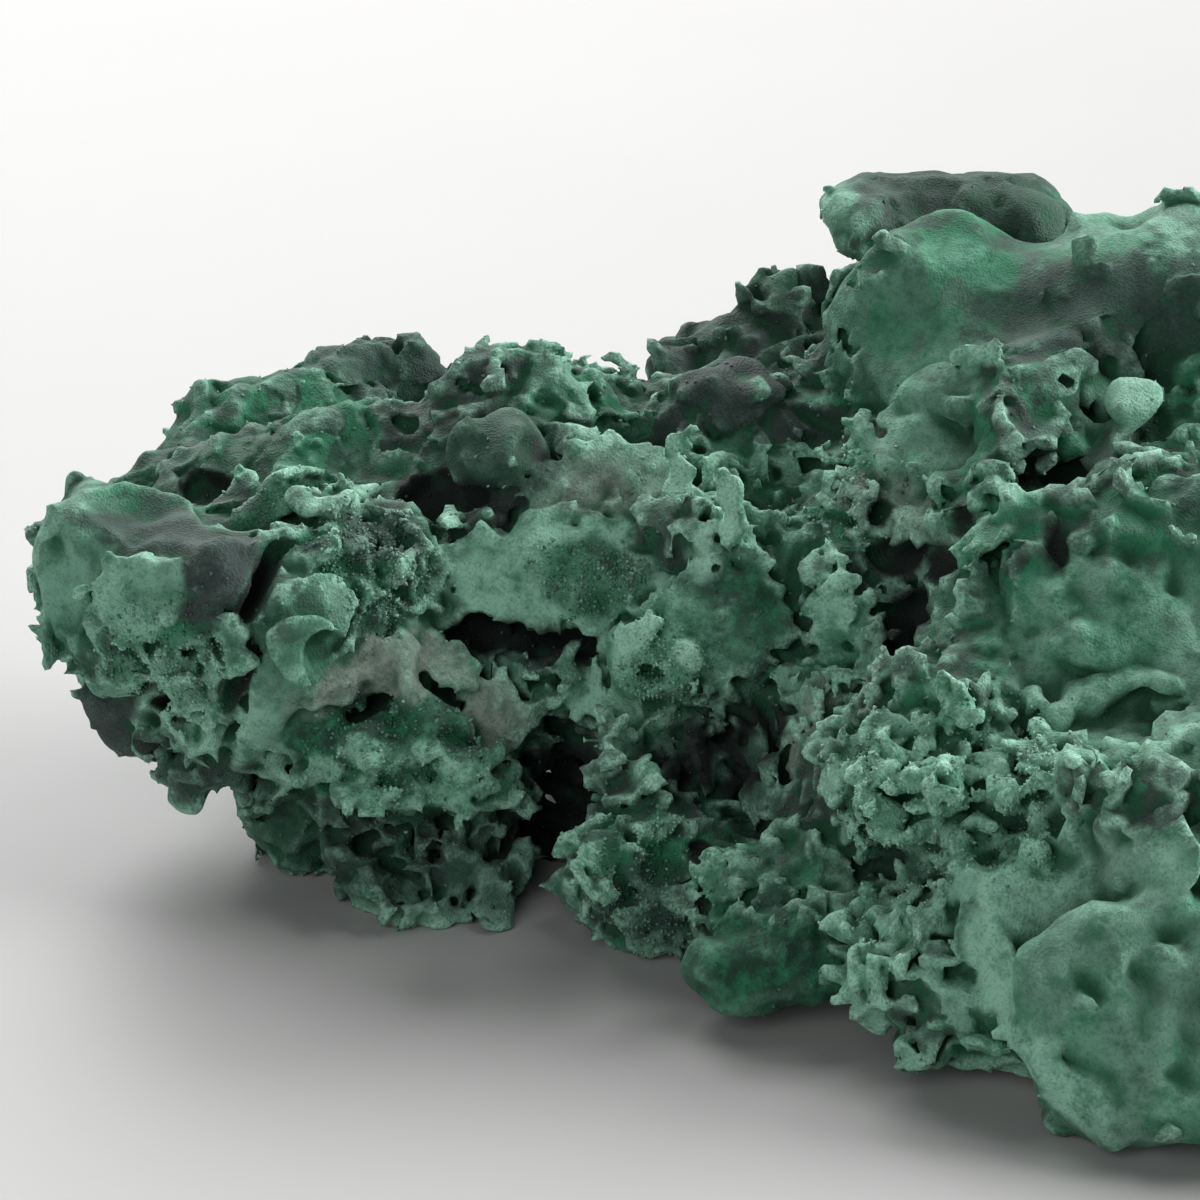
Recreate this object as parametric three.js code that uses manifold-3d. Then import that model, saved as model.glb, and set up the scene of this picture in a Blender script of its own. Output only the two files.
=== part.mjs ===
// A rough malachite specimen, about 104 mm long: one natural mass of grown-together crusts.
// Frame: millimetres, +Z up, +X along the length, origin under the middle of the box on the ground.
// A low arm reaches out to -X over a small foot, a high ridge crosses the back, and a long slope
// runs down from the ridge to the front. It stands on broken, nearly level spots of its underside.
//
// The mass is built from lobes. Each lobe is a sphere stretched to three radii, turned, and then
// roughened by noise that is read in the specimen's own space, so that neighbours share one relief.
// The lobes are joined into one solid, the hollows are cut out of it, and the ground plane trims it.
import * as THREE from "three";
import { ImprovedNoise } from "three/addons/math/ImprovedNoise.js";
import { mergeVertices } from "three/addons/utils/BufferGeometryUtils.js";
import Module from "manifold-3d";

// Driving dimensions, in millimetres.
const LENGTH = 104;
const DEPTH = 78;
const HEIGHT = 41;
const FACET = 3.15; // length of a facet's edge
const COARSEST = 2; // fewest facets along a lobe's radius
const WELD = 1e-4; // points closer than this, on a sphere of radius 1, are one point
const RELIEF = [
  { wave: 15, height: 4.4 }, // shoulders and saddles
  { wave: 7.5, height: 3 }, // knobs and shelves
  { wave: 4.2, height: 1.2 }, // broken crust
];

// Materials: weathered green crust.
const malachiteCrust = new THREE.MeshStandardMaterial({
  color: 0x3f6f57,
  roughness: 0.85,
  metalness: 0,
});

// Lobes: centre, radii and a turn about X, Y and Z in degrees.
const ARM = {
  tip: { at: [-43.8, 7, 17.6], radii: [8.6, 8, 6.4] },
  chin: { at: [-41, 7, 10.8], radii: [8.6, 7.6, 5.4] },
  front: { at: [-32.5, 7.5, 16.2], radii: [12, 8, 8.4] },
  lip: { at: [-32, 5, 9.4], radii: [9.6, 8, 5], turn: [0, 3, 0] },
  middle: { at: [-35.5, 17.5, 17], radii: [13, 11, 6.4] },
  back: { at: [-35, 27, 18.4], radii: [11, 7.5, 5.4] },
  crest: { at: [-30, 31, 22], radii: [5.4, 4.5, 4.4] },
  root: { at: [-18.5, 17, 17.6], radii: [13, 13.5, 9.4] },
  bridge: { at: [-21, 6.5, 14.5], radii: [8, 6.5, 8] },
};
const FOOT = {
  heel: { at: [-28, 6, 4.8], radii: [10.4, 9, 7] },
  nub: { at: [-23.5, 0.4, 1.8], radii: [2.4, 2.4, 2.8] },
};
const CENTRE = {
  core: { at: [-7, 14, 14], radii: [14, 16, 12.8] },
  face: { at: [-9, 6, 17], radii: [10, 7, 8.8] },
  rim: { at: [4, 7, 19.5], radii: [9.4, 9, 8], turn: [0, 0, 12] },
  recess: { at: [-4, 0, 9], radii: [11, 7.5, 8.6] },
  knee: { at: [-12, -4.5, 5], radii: [7, 7.6, 6.4] },
  apron: { at: [-2, -12.5, 4.6], radii: [9, 8.6, 6], turn: [0, 0, -25] },
  hem: { at: [6.5, -19, 5.4], radii: [8, 8, 6], turn: [0, 0, -30] },
  cauliflower: { at: [6, -10, 11.4], radii: [9.5, 9, 7.6] },
};
const RIDGE = {
  dome: { at: [6.5, 19, 30], radii: [7, 7.6, 7.4] },
  saddle: { at: [14, 16, 27], radii: [13, 12, 9.4] },
  top: { at: [27, 19, 30], radii: [12.5, 12, 10] },
  block: { at: [7.2, 34, 31.6], radii: [7.6, 4.8, 3.6] },
  neck: { at: [4.5, 31, 25], radii: [4.8, 5.5, 7] },
  shoulder: { at: [-5, 29, 22.6], radii: [7, 6.5, 5.2] },
};
const SLOPE = {
  core: { at: [20, 1, 15], radii: [18, 22, 13.4], turn: [12, 0, 0] },
  middle: { at: [21, -14, 11], radii: [15.5, 16, 10.6], turn: [16, 0, 0] },
  toe: { at: [21.5, -27.5, 5.2], radii: [12, 10.5, 7.2], turn: [12, 0, 14] },
};
const FAR_END = {
  high: { at: [35, 12, 22], radii: [11.5, 14, 11.5] },
  low: { at: [36, -6, 11.5], radii: [12, 19, 11.5] },
  tail: { at: [41.6, 5, 11.6], radii: [8.2, 13, 9] },
};
const BACK = {
  left: { at: [-13, 24, 10.4], radii: [12, 11, 11.6] },
  middle: { at: [5, 25, 15], radii: [15, 12.5, 13] },
  right: { at: [28, 22, 12.4], radii: [15, 14, 13.6] },
};
const LOBES = [ARM, FOOT, CENTRE, RIDGE, SLOPE, FAR_END, BACK].flatMap((group) => Object.values(group));

// Hollows, roughened as the lobes are.
const HOLLOWS = {
  cave: { at: [-18.6, -2.5, 6.4], radii: [4, 6.5, 4], turn: [0, 14, 0] }, // between foot and knee
  pocket: { at: [-6, -6, 13], radii: [4.6, 4, 3.2] }, // in the face above the knee
  undercut: { at: [-29, -2.5, 5.6], radii: [6, 4, 2] }, // where the lip overhangs the foot
  groove: { at: [12.6, -1, 27], radii: [1.8, 6, 3.4] }, // between the rim and the slope
  nook: { at: [-0.5, 37, 29], radii: [3.4, 4, 3.4] }, // behind the block's neck
  arch: { at: [2, 12, -2], radii: [13, 16, 5.5] }, // under the middle
  farArch: { at: [34, -8, -2], radii: [9, 10, 5] }, // under the thick end
};

const noise = new ImprovedNoise();
const NOISE_AT = new THREE.Vector3(0, 7, 3); // where in the noise the specimen lies

// Height of the relief at a point, in millimetres.
function relief(point) {
  return RELIEF.reduce((sum, { wave, height }) => {
    const { x, y, z } = point.clone().divideScalar(wave).add(NOISE_AT);
    return sum + height * noise.noise(x, y, z);
  }, 0);
}

// One roughened ellipsoid as a closed geometry with shared vertices.
function lobeGeometry({ at, radii, turn = [0, 0, 0] }) {
  const size = Math.max(...radii);
  const detail = Math.max(COARSEST, Math.round(size / FACET));
  const sphere = new THREE.IcosahedronGeometry(1, detail - 1);
  sphere.deleteAttribute("normal");
  sphere.deleteAttribute("uv");
  const geometry = mergeVertices(sphere, WELD);
  const place = new THREE.Matrix4().compose(
    new THREE.Vector3(...at),
    new THREE.Quaternion().setFromEuler(new THREE.Euler(...turn.map(THREE.MathUtils.degToRad))),
    new THREE.Vector3(...radii),
  );
  const outward = new THREE.Matrix3().getNormalMatrix(place);
  const point = new THREE.Vector3();
  const normal = new THREE.Vector3();
  const position = geometry.attributes.position;
  for (let i = 0; i < position.count; i += 1) {
    point.fromBufferAttribute(position, i);
    normal.copy(point).applyMatrix3(outward).normalize();
    point.applyMatrix4(place);
    point.addScaledVector(normal, relief(point));
    position.setXYZ(i, point.x, point.y, point.z);
  }
  return geometry;
}

// Booleans.
const wasm = await Module();
wasm.setup();

function toSolid(geometry) {
  return new wasm.Manifold(
    new wasm.Mesh({
      numProp: 3,
      vertProperties: new Float32Array(geometry.attributes.position.array),
      triVerts: new Uint32Array(geometry.index.array),
    }),
  );
}

function toGeometry(solid) {
  const mesh = solid.getMesh();
  const points = new Float32Array(mesh.numVert * 3);
  for (let i = 0; i < mesh.numVert; i += 1) {
    points.set(mesh.vertProperties.subarray(i * mesh.numProp, i * mesh.numProp + 3), i * 3);
  }
  return new THREE.BufferGeometry()
    .setAttribute("position", new THREE.BufferAttribute(points, 3))
    .setIndex(new THREE.BufferAttribute(new Uint32Array(mesh.triVerts), 1));
}

// The block of space below the ground, which trims the feet level.
function belowGround() {
  const box = new THREE.BoxGeometry(2 * LENGTH, 2 * DEPTH, HEIGHT).translate(0, 0, -HEIGHT / 2);
  box.deleteAttribute("normal");
  box.deleteAttribute("uv");
  return toSolid(mergeVertices(box));
}

function specimenGeometry() {
  const joined = LOBES.map((lobe) => toSolid(lobeGeometry(lobe))).reduce((a, b) => a.add(b));
  const hollowed = Object.values(HOLLOWS)
    .map((hollow) => toSolid(lobeGeometry(hollow)))
    .reduce((a, b) => a.subtract(b), joined);
  const geometry = toGeometry(hollowed.subtract(belowGround()));
  // Stretched to the driving dimensions exactly, with the origin under the middle of the box.
  geometry.computeBoundingBox();
  const size = geometry.boundingBox.getSize(new THREE.Vector3());
  const middle = geometry.boundingBox.getCenter(new THREE.Vector3());
  return geometry
    .translate(-middle.x, -middle.y, -geometry.boundingBox.min.z)
    .scale(LENGTH / size.x, DEPTH / size.y, HEIGHT / size.z);
}

const specimen = new THREE.Mesh(specimenGeometry(), malachiteCrust);
specimen.name = "malachite_specimen";

const part = new THREE.Group();
part.add(specimen);

export default part;
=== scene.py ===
import math
from functools import partial
import bpy
import numpy as np
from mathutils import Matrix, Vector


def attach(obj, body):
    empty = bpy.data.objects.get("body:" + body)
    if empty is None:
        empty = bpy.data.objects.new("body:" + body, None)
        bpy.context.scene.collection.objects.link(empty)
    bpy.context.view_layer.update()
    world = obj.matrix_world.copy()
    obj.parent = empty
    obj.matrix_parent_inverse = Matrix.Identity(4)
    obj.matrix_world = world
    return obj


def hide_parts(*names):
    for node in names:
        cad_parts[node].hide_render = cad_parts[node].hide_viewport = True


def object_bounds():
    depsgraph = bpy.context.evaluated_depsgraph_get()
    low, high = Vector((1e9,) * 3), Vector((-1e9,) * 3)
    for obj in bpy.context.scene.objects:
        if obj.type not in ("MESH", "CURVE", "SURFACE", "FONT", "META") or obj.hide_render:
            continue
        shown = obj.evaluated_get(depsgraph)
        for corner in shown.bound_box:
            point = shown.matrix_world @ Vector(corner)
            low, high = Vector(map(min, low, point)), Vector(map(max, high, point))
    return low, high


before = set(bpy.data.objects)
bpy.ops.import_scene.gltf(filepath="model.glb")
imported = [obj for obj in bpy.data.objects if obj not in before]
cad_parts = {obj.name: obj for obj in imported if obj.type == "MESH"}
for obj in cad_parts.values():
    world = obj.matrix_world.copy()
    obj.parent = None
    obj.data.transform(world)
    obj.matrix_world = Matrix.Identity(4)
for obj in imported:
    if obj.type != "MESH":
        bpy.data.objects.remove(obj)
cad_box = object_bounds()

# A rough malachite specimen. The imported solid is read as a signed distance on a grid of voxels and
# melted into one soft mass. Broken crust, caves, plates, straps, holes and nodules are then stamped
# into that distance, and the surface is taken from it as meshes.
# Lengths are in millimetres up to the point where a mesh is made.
import openvdb
from mathutils import Euler, Vector

NODE = "malachite_specimen"
BODY = "root"
MM = 0.001
SEED = 20

VOXEL = 0.26
COARSE = 0.7  # voxels of the first, melted field
MELT = 1.0  # how far the facets of the solid melt together
FAR = 3.0  # the distance at the edge of the grid; the melted field reaches twice as far
MARGIN = 4.0  # room around the solid
FOOT_TRIM = 0.02  # the lowest points stand this far above the floor
CUTS = [-60, -29, -13, 0, 9.5, 19, 60]  # the mesh is made in slabs between these places along X
TILE_TRIANGLES = [125000, 150000, 165000, 150000, 150000, 115000]
SEAM = 0.9  # the triangles this near to a cut are left as they are, so that the slabs still meet
DIPS = [0.03, 0.08, 0.2]  # how far a slab dips under its neighbour, layer by layer
FILL_REACHES = (0.5, 1.0, 2.0)
STRAY = 900  # a loose scrap with fewer points than this is dropped

ELEVATION = math.radians(22)  # how far the camera looks down
VIEW = np.array((0, -math.cos(ELEVATION), math.sin(ELEVATION)))  # towards the camera

SWELLING = 0.5  # height of the soft lumps
SWELLING_WAVE = 7.5
WARP_WAVE = 2.4
GRIT_WAVE = 1.0
BIG_CHIPS = (3.6, 0.42, 0.22)  # their size, the steps between them, and their tilt
SMALL_CHIPS = (1.5, 0.16, 0.16)
BAND = 1.6  # how near the surface the chips are worked out
DEEPEST_CHIP = 0.8
KNOT_HEIGHT = 1.25
PORE_DEPTH = 1.3

# How many of each are scattered.
FLAKES = 330
HOLES = 500
WORMS = 480
GRAINS = 1500
CRYSTALS = 14000

random = np.random.default_rng(SEED)


# ---- distances

def turned(x, y, z, turn):
    """Offsets in the axes of something turned by degrees about X, Y and Z."""
    if not any(turn):
        return x, y, z
    m = np.array(Euler([math.radians(a) for a in turn]).to_matrix(), np.float32)
    return tuple(m[0, k] * x + m[1, k] * y + m[2, k] * z for k in range(3))


def leaning(x, y, z, normal, spin=0.0):
    """Offsets in the axes of a plate: across, along, and out along its normal."""
    n = np.array(normal, float)
    n /= np.linalg.norm(n)
    across = np.cross((0, 0, 1) if abs(n[2]) < 0.95 else (0, 1, 0), n)
    across /= np.linalg.norm(across)
    along = np.cross(n, across)
    c = math.cos(math.radians(spin))
    s = math.sin(math.radians(spin))
    rows = [c * across + s * along, c * along - s * across, n]
    return tuple(float(r[0]) * x + float(r[1]) * y + float(r[2]) * z for r in rows)


def outwards(x, y, z, radii):
    """How far out a place is in an ellipsoid: 0 in its middle, 1 at its surface."""
    a, b, c = radii
    return np.sqrt((x / a) ** 2 + (y / b) ** 2 + (z / c) ** 2)


def ball(x, y, z, radii):
    """Distance to an ellipsoid, true near its surface."""
    near = outwards(x, y, z, radii) + 1e-6
    steep = outwards(x, y, z, [r**2 for r in radii]) + 1e-6
    return near * (near - 1) / steep


def join(a, b, k):
    """The nearer of two distances, blended over k."""
    h = np.clip(0.5 + 0.5 * (b - a) / k, 0, 1)
    return b + (a - b) * h - k * h * (1 - h)


def cut(a, b, k):
    """The distance a with the shape b taken out of it, blended over k."""
    return -join(-a, b, k)


def fade(a, low, high):
    """0 at low, 1 at high, smooth between."""
    t = np.clip((a - low) / (high - low), 0, 1)
    return t * t * (3 - 2 * t)


# ---- the field

def spline_matrix(count, step, size, start=0.0):
    """Weights that read `count` samples, `step` cells apart, from a cubic B-spline of `size` points."""
    at = np.arange(count) * step + 1 + start
    cell = np.minimum(at.astype(int), size - 3)
    f = at - cell
    weights = [
        (1 - f) ** 3 / 6,
        (3 * f**3 - 6 * f**2 + 4) / 6,
        (-3 * f**3 + 3 * f**2 + 3 * f + 1) / 6,
        f**3 / 6,
    ]
    matrix = np.zeros((count, size), np.float32)
    for k, weight in enumerate(weights):
        matrix[np.arange(count), cell - 1 + k] = weight
    return matrix


def enlarge(lattice, step, shape, start=(0, 0, 0)):
    """The lattice read smoothly at every voxel, `step` of its cells apart."""
    out = lattice
    for axis in range(3):
        matrix = spline_matrix(shape[axis], step, lattice.shape[axis], start[axis])
        # Each pass uses up the first axis left and adds the new one at the end.
        out = np.tensordot(out, matrix, (0, 1))
    return np.ascontiguousarray(out)


def blur(a, passes, reach=1):
    """A soft blur by repeated averages over 2 * reach + 1 voxels."""
    width = 2 * reach + 1
    for _ in range(passes):
        for axis in range(3):
            pad = [(0, 0)] * 3
            pad[axis] = (reach + 1, reach)
            total = np.cumsum(np.pad(a, pad, "edge"), axis=axis, dtype=np.float32)
            low = [slice(None)] * 3
            high = [slice(None)] * 3
            low[axis] = slice(0, a.shape[axis])
            high[axis] = slice(width, width + a.shape[axis])
            a = (total[tuple(high)] - total[tuple(low)]) / width
    return a


class Field:
    """A signed distance in millimetres, negative inside the stone."""

    def __init__(self, box):
        self.low = np.array(box[0]) / MM - MARGIN
        self.span = np.array(box[1]) / MM + MARGIN - self.low
        self.shape = tuple(int(n) for n in np.ceil(self.span / VOXEL) + 1)

    def melt(self, mesh):
        """The mesh as a field, its facets and creases smoothed away."""
        points = np.empty(len(mesh.vertices) * 3, np.float32)
        mesh.vertices.foreach_get("co", points)
        mesh.calc_loop_triangles()
        corners = np.empty(len(mesh.loop_triangles) * 3, np.int32)
        mesh.loop_triangles.foreach_get("vertices", corners)
        grid = openvdb.FloatGrid.createLevelSetFromPolygons(
            points.reshape(-1, 3) / MM,
            triangles=corners.reshape(-1, 3).astype(np.uint32),
            transform=openvdb.createLinearTransform(voxelSize=COARSE),
            halfWidth=math.ceil(2 * FAR / COARSE),
        )
        first = np.floor(self.low / COARSE).astype(int) - 1
        size = np.ceil(np.array(self.shape) * VOXEL / COARSE).astype(int) + 6
        coarse = np.empty(size, np.float32)
        grid.copyToArray(coarse, ijk=tuple(int(i) for i in first))
        coarse = blur(coarse, passes=round(1.5 * (MELT / COARSE) ** 2))
        start = self.low / COARSE - first - 1
        self.value = enlarge(coarse, VOXEL / COARSE, self.shape, start)

    def cloud(self, wave):
        """Smooth random noise, its lumps about `wave` apart, with a spread of 1."""
        cell = wave / 2
        lattice = random.standard_normal([int(n / cell) + 6 for n in self.span]).astype(np.float32)
        return 3.0 * enlarge(lattice, VOXEL / cell, self.shape)

    def axes(self):
        """X, Y and Z of the voxels, as three arrays that broadcast together."""
        lines = [self.low[k] + VOXEL * np.arange(self.shape[k]) for k in range(3)]
        return np.meshgrid(*[line.astype(np.float32) for line in lines], indexing="ij", sparse=True)

    def window(self, at, reach):
        """The voxels within reach of a place, and their offsets from it."""
        first = np.maximum(np.floor((at - reach - self.low) / VOXEL), 0).astype(int)
        last = np.minimum(np.ceil((at + reach - self.low) / VOXEL) + 1, self.shape).astype(int)
        last = np.maximum(first, last)
        lines = [self.low[k] + VOXEL * np.arange(first[k], last[k]) - at[k] for k in range(3)]
        lines = [line.astype(np.float32) for line in lines]
        box = tuple(slice(a, b) for a, b in zip(first, last))
        return box, np.meshgrid(*lines, indexing="ij", sparse=True)

    def sample(self, volume, points):
        """A volume read between its voxels, at points in millimetres."""
        at = (points - self.low) / VOXEL
        cell = np.clip(at.astype(int), 0, np.array(self.shape) - 2)
        f = np.clip(at - cell, 0, 1).astype(np.float32)
        out = np.zeros(len(points), np.float32)
        for corner in range(8):
            d = np.array([corner & 1, corner >> 1 & 1, corner >> 2 & 1])
            weight = np.prod(np.where(d, f, 1 - f), axis=1)
            i, j, k = (cell + d).T
            out += weight * volume[i, j, k]
        return out

    def slope(self, points, step=0.6):
        """The direction out of the stone at some points."""
        out = np.empty((len(points), 3), np.float32)
        for axis in range(3):
            shift = np.zeros(3)
            shift[axis] = step
            ahead = self.sample(self.value, points + shift)
            out[:, axis] = ahead - self.sample(self.value, points - shift)
        return out / np.maximum(np.linalg.norm(out, axis=1, keepdims=True), 1e-6)

    def snap(self, at, reach=5.0, steps=4):
        """The surface nearest to a place along the view, and the way out of the stone there."""
        away = np.arange(reach, -reach, -0.2)
        line = np.array(at, float) + away[:, None] * VIEW
        value = self.sample(self.value, line)
        enters = np.flatnonzero((value[:-1] > 0) & (value[1:] <= 0))
        if len(enters):
            i = enters[np.argmin(np.abs(away[enters]))]
            point = line[i : i + 1] + (line[i + 1] - line[i]) * value[i] / (value[i] - value[i + 1])
        else:
            point = np.array([at], float)
            for _ in range(steps):
                point -= self.sample(self.value, point)[:, None] * self.slope(point)
        return point[0], self.slope(point)[0]

    def scatter(self, count, likely):
        """Random places on the surface, as likely as a volume says, and the ways out of the stone."""
        near = np.argwhere(np.abs(self.value) < 0.5 * VOXEL)
        near = near[random.random(len(near)) < likely[tuple(near.T)]]
        near = near[random.integers(len(near), size=count)]
        points = self.low + VOXEL * (near + random.random(near.shape) - 0.5)
        return points, self.slope(points)


class Stone(Field):
    """The field with the shapes that are stamped into it, and the colours that they leave.

    A stamp takes its colours as shares, such as mint=0.4. The near-black share, and part of the dark green
    share, is painted shade in pits, caves and under overhangs.
    """

    def __init__(self, box):
        super().__init__(box)
        self.marks = []
        self.calm, self.worms, self.holes, self.druse = np.zeros((4, *self.shape), np.float32)

    def mark(self, at, radii, axes=None, top=False, **shares):
        """Remembers colours for the surface inside an ellipsoid, or only for its upward faces."""
        axes = axes or (lambda *offsets: offsets)
        for colour, share in shares.items():
            self.marks.append((np.array(at, float), radii, axes, colour, share, top))

    def zone(self, volume, at, radii, amount=1.0):
        """Raises a volume inside an ellipsoid."""
        box, (x, y, z) = self.window(np.array(at, float), 1.3 * max(radii))
        near = outwards(x, y, z, radii) + 0.12 * self.warp[0][box]
        volume[box] = np.maximum(volume[box], amount * (1 - fade(near, 0.75, 1.2)))

    def wavy(self, box, x, y, z, rough):
        """The offsets moved about by the warp, so that what is stamped isn't round or straight."""
        if not rough:
            return x, y, z
        return tuple(v + rough * w[box] for v, w in zip((x, y, z), self.warp))

    def swell(self, at, radii, amount):
        """Moves the surface softly out, or in where the amount is negative."""
        at = np.array(at, float)
        box, (x, y, z) = self.window(at, max(radii))
        self.value[box] -= amount * (1 - fade(outwards(x, y, z, radii), 0.3, 1))

    def under(self, at, depth):
        """The place at a depth under the surface that is nearest to a place."""
        at, out = self.snap(at)
        return at - depth * out

    def stamp(self, blended, at, radii, turn, blend, rough):
        """Joins an ellipsoid on or cuts it out, and gives its axes."""
        box, (x, y, z) = self.window(at, max(radii) + 1.5)
        axes = partial(turned, turn=turn)
        near = ball(*axes(*self.wavy(box, x, y, z, rough)), radii)
        self.value[box] = blended(self.value[box], near, blend)
        return axes

    def lump(self, at, radii, turn=(0, 0, 0), sink=0.0, blend=0.7, rough=0.25, free=False, **shares):
        """An ellipsoid joined on, its middle `sink` under the surface, or just at `at` if free."""
        at = np.array(at, float) if free else self.under(at, sink)
        axes = self.stamp(join, at, radii, turn, blend, rough)
        self.mark(at, [1.6 * r for r in radii], axes, **shares)

    def pit(self, at, radii, turn=(0, 0, 0), sink=0.3, blend=0.3, rough=0.2, **shares):
        """An ellipsoid cut out, its middle `sink` under the surface."""
        at = self.under(at, sink)
        axes = self.stamp(cut, at, radii, turn, blend, rough)
        self.mark(at, [1.15 * r for r in radii], axes, **shares)

    def dish(self, at, normal, size, depth, blend=0.12, rough=0.25, **shares):
        """A shallow dip with a crisp rim that faces along the normal; size is half its width."""
        at, _ = self.snap(at)
        normal = np.array(normal, float) / np.linalg.norm(normal)
        radius = (size**2 + depth**2) / (2 * depth)
        box, (x, y, z) = self.window(at, 1.5 * size)
        x, y, z = self.wavy(box, x, y, z, rough)
        a, b, c = (radius - depth) * normal
        near = np.sqrt((x - a) ** 2 + (y - b) ** 2 + (z - c) ** 2) - radius
        reach = np.sqrt(x**2 + y**2 + z**2) - 1.3 * size
        self.value[box] = cut(self.value[box], np.maximum(near, reach), blend)
        self.mark(at, (size, size, size), **shares)

    def plate(self, at, normal, size, thick=0.6, lift=0.5, curl=0.0, spin=0.0, ragged=0.5,
              rough=0.25, blend=0.25, **shares):
        """A thin ragged sheet with its middle `lift` above the surface; curl bends its rim inwards."""
        at = self.under(at, -lift)
        box, (x, y, z) = self.window(at, 1.25 * max(size) + 1)
        axes = partial(leaning, normal=normal, spin=spin)
        x, y, z = axes(*self.wavy(box, x, y, z, rough))
        a, b = size
        rim = (np.sqrt((x / a) ** 2 + (y / b) ** 2) - 1) * min(a, b) + ragged * self.grit[box]
        sheet = np.abs(z + curl * (x**2 + y**2)) - 0.5 * thick
        self.value[box] = join(self.value[box], np.maximum(rim, sheet), blend)
        self.mark(at, (a, b, 1.2 * thick + 0.5), axes, **shares)

    def strap(self, points, widths, thick=0.8, lift=0.3, blend=0.5, rough=0.2, **shares):
        """A flat band through some places on the surface, with a width at each of them."""
        spots = [self.snap(p) for p in points]
        spots = [(at + lift * out, out) for at, out in spots]
        for (a, out_a), (b, out_b), w0, w1 in zip(spots, spots[1:], widths, widths[1:]):
            middle = (a + b) / 2
            length = np.linalg.norm(b - a)
            box, (x, y, z) = self.window(middle, length / 2 + max(w0, w1) + 1.5)
            x, y, z = self.wavy(box, x, y, z, rough)
            d = (b - a) / length
            out = (out_a + out_b) / 2
            out = out - d * float(np.dot(out, d))
            out /= np.linalg.norm(out)
            side = np.cross(d, out)
            along = d[0] * x + d[1] * y + d[2] * z
            t = np.clip(along / length + 0.5, 0, 1)
            rest = along - (t - 0.5) * length
            across = side[0] * x + side[1] * y + side[2] * z
            above = out[0] * x + out[1] * y + out[2] * z
            width = w0 + (w1 - w0) * t
            near = np.sqrt((across / width) ** 2 + (above / (thick / 2)) ** 2 + (rest / width) ** 2)
            self.value[box] = join(self.value[box], (near - 1) * thick / 2, blend)
            for f in (0.0, 0.35, 0.7):
                w = 1.2 * (w0 + (w1 - w0) * f)
                self.mark(a + (b - a) * f, (w, w, w), **shares)


# ---- the arm, from its tip inwards

def grow_tip(stone):
    stone.lump((-50, 4, 21.6), (3, 3, 3.4), sink=1.4, rough=0.1, mint=0.35)
    stone.dish((-44.6, 3, 24), (0.1, -0.2, 1), 4.4, 0.9)
    stone.dish((-38.4, 1.4, 24.6), (0.15, -0.35, 0.9), 2.8, 0.5, charcoal=0.6)
    stone.lump((-39.5, -2.5, 22.4), (2.3, 2.0, 2.5), sink=0.9, charcoal=1)
    # Painted shade: the pit beside the lump is darkened to near black.
    stone.pit((-36.8, -2, 22.3), (0.8, 2.6, 2.9), turn=(0, 30, 0), sink=0.8, hollow=1)
    stone.mark((-44.5, 1.5, 24.3), (4.6, 3.4, 2.4), charcoal=0.9, olive=0.15, top=True)
    stone.dish((-48.4, -0.6, 20.6), (-0.6, -0.75, 0.2), 3.2, 0.6)
    stone.plate((-44.4, -1.5, 21), (-0.25, -0.9, 0.25), (3.0, 2.8), thick=0.9, ragged=0.3, spin=10,
                blend=0.3, mint=0.6)
    stone.dish((-44.4, -1.8, 21), (-0.15, -0.95, 0.2), 2.6, 0.5, mint=0.8)
    stone.mark((-43.6, -1.5, 21.8), (2.2, 2.6, 1.6), emerald=0.3)
    stone.mark((-50, 4, 20), (3, 3, 5), mint=0.35)


def grow_ribbon(stone):
    stone.strap([(-38.5, 3.6, 24), (-37, 4.8, 24.4), (-35, 5, 24.8)], [0.9, 1.2, 0.7], emerald=1)
    rib = [(-35, 5, 24.9), (-33.6, 3.8, 24.6), (-32.3, 4, 24.3), (-31.2, 5, 24.6), (-30.5, 6.5, 24.6)]
    stone.strap(rib, [0.5, 0.6, 0.6, 0.55, 0.5], thick=0.9, lift=0.6, blend=0.2, pale=1)
    stone.mark((-29.8, 2.4, 23.8), (3.6, 2.6, 1.8), charcoal=0.8)
    stone.plate((-26.7, 2.4, 21.9), (0, -1, 0.3), (1.1, 1.1), lift=0.4, ragged=0.1, mint=0.4)


def grow_strap(stone):
    # Painted shade: near black in the crease beside the sheet.
    stone.pit((-38.2, -2.4, 15.6), (0.7, 1.8, 3), turn=(0, 20, 0), sink=0.4, hollow=1)
    sheet = [(-33.4, -2.6, 20.6), (-34.4, -2.8, 18.4), (-35.6, -2.6, 16), (-37.2, -2.4, 13),
             (-38.8, -1.8, 10)]
    stone.strap(sheet, [2.0, 2.5, 2.0, 1.2, 0.9], thick=1.0, lift=0.7, rough=0.1, blend=0.2, mint=0.12)
    stone.mark((-38.2, -2, 11.5), (2, 3, 3), mint=0.45)
    # Painted shade: dark green in the round pit of the sheet and round it.
    stone.mark((-34.4, -2.8, 18.4), (3, 3, 3.4), deep=0.4)
    stone.pit((-32.9, -3.4, 17.6), (1.4, 1.6, 1.8), sink=0.1, rough=0.05, deep=1)


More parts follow.
